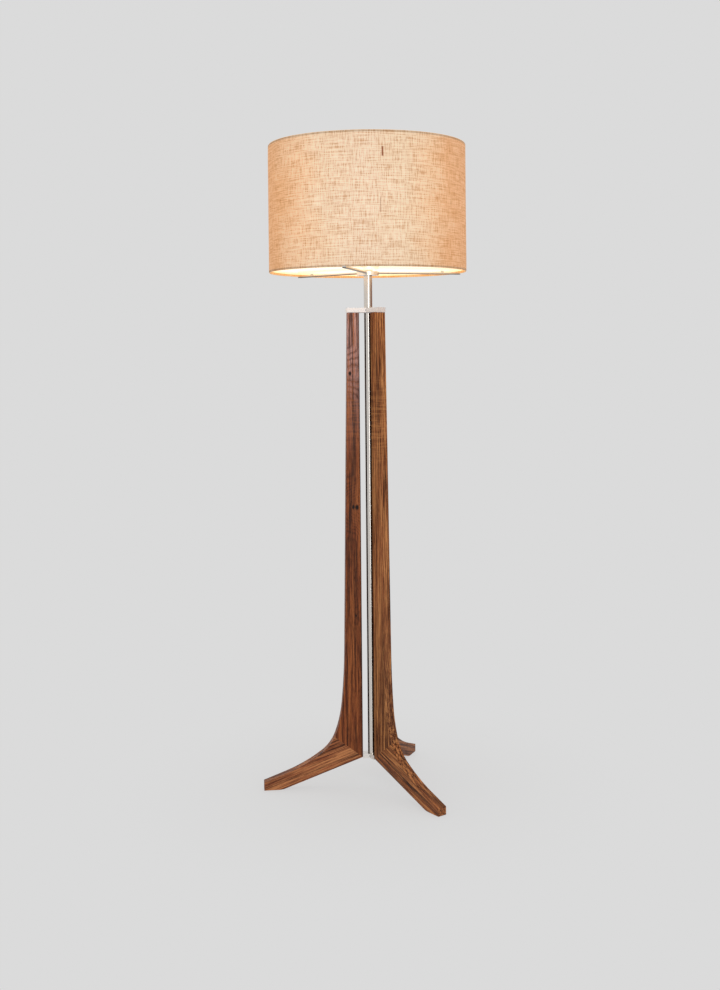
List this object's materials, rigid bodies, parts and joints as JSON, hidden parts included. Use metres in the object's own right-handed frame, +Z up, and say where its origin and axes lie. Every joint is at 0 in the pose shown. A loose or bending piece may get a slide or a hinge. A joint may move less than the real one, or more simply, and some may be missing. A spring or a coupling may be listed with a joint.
{
  "type": "tripod floor lamp",
  "caption": "Floor lamp with mitred walnut legs around a slim metal tube, and a linen drum shade held on a flat-armed spider over an opal diffuser.",
  "frame": {"origin": "on the floor, under the axis of the tube", "axes": "+Z up along the tube; -X along the left leg; the other two legs are at 60 degrees each side of +X"},
  "size_m": [0.5323, 0.508, 1.6452],
  "materials": {
    "walnut": "satin oiled walnut",
    "aluminium": "fine brushed",
    "screw_steel": "zinc plated",
    "brass": "satin",
    "phenolic": "moulded phenolic",
    "linen": "natural burlap weave",
    "shade_liner": "styrene sheet",
    "opal_acrylic": "gloss opal acrylic",
    "rubber": "clear silicone",
    "nylon": "brown nylon",
    "bulb_globe": "opal globe",
    "white_plastic": "moulded",
    "ring_wire": "white enamel wire",
    "nickel": "nickel plated"
  },
  "bodies": {
    "stand": {"arm_screws": "screw_steel", "base_grub_screw": "screw_steel", "base_plate": "aluminium", "bulb_cap": "nickel", "bulb_collar": "white_plastic", "bulb_globe": "bulb_globe", "cap_grub_screw": "screw_steel", "cap_plate": "aluminium", "cap_screws": "screw_steel", "centre_contact": "brass", "cord_bush": "phenolic", "diffuser": "opal_acrylic", "diffuser_pads": "rubber", "diffuser_spacer": "rubber", "foot_glides": "nylon", "lampholder_core": "phenolic", "lampholder_cup": "brass", "lampholder_liner": "white_plastic", "lampholder_shell": "brass", "leg_foot_back": "walnut", "leg_foot_left": "walnut", "leg_foot_right": "walnut", "leg_screws": "screw_steel", "leg_upright_back": "walnut", "leg_upright_left": "walnut", "leg_upright_right": "walnut", "mitre_splines": "walnut", "riser": "brass", "riser_nut": "screw_steel", "riser_washer": "screw_steel", "screw_sleeve": "brass", "spider_arm_back": "aluminium", "spider_arm_front": "aluminium", "spider_arm_right": "aluminium", "spider_hub": "aluminium", "tube": "aluminium", "tube_top_bush": "brass"},
    "shade": {"shade_fabric": "linen", "shade_liner": "shade_liner", "shade_ring_bottom": "ring_wire", "shade_ring_top": "ring_wire"},
    "switch": {"switch_knob": "phenolic"}
  },
  "joints": [
    {"name": "shade_lift", "type": "slide", "parent": "stand", "child": "shade", "axis": [0, 0, 1], "range_m": [0, 0.25]},
    {"name": "switch_turn", "type": "hinge", "parent": "stand", "child": "switch", "pos_m": [0, -0.02, 1.386], "axis": [0, -1, 0], "continuous": true}
  ]
}
